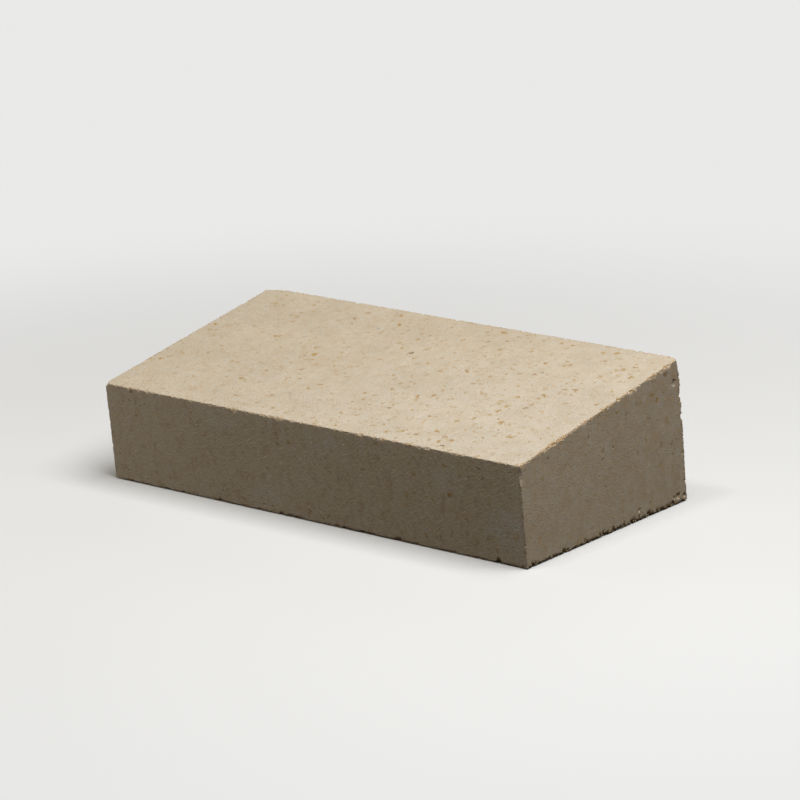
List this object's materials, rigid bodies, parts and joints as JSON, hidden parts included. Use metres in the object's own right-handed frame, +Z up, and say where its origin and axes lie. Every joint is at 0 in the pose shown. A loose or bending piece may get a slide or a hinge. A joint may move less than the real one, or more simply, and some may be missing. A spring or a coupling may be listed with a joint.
{
  "type": "refractory firebrick",
  "caption": "Side-arch refractory firebrick: a solid pressed fireclay block whose two wide beds taper across its width, with crisp arrises and worn upper corners.",
  "frame": {"origin": "bottom centre of the bounding box, on the lower bed that the brick lies on", "axes": "+X along the 230 mm length, towards the right end; -Y towards the thin side; +Z up from the lower bed"},
  "size_m": [0.23, 0.1183, 0.0647],
  "materials": {
    "fireclay": "matte"
  },
  "bodies": {
    "root": {"firebrick": "fireclay"}
  },
  "joints": []
}
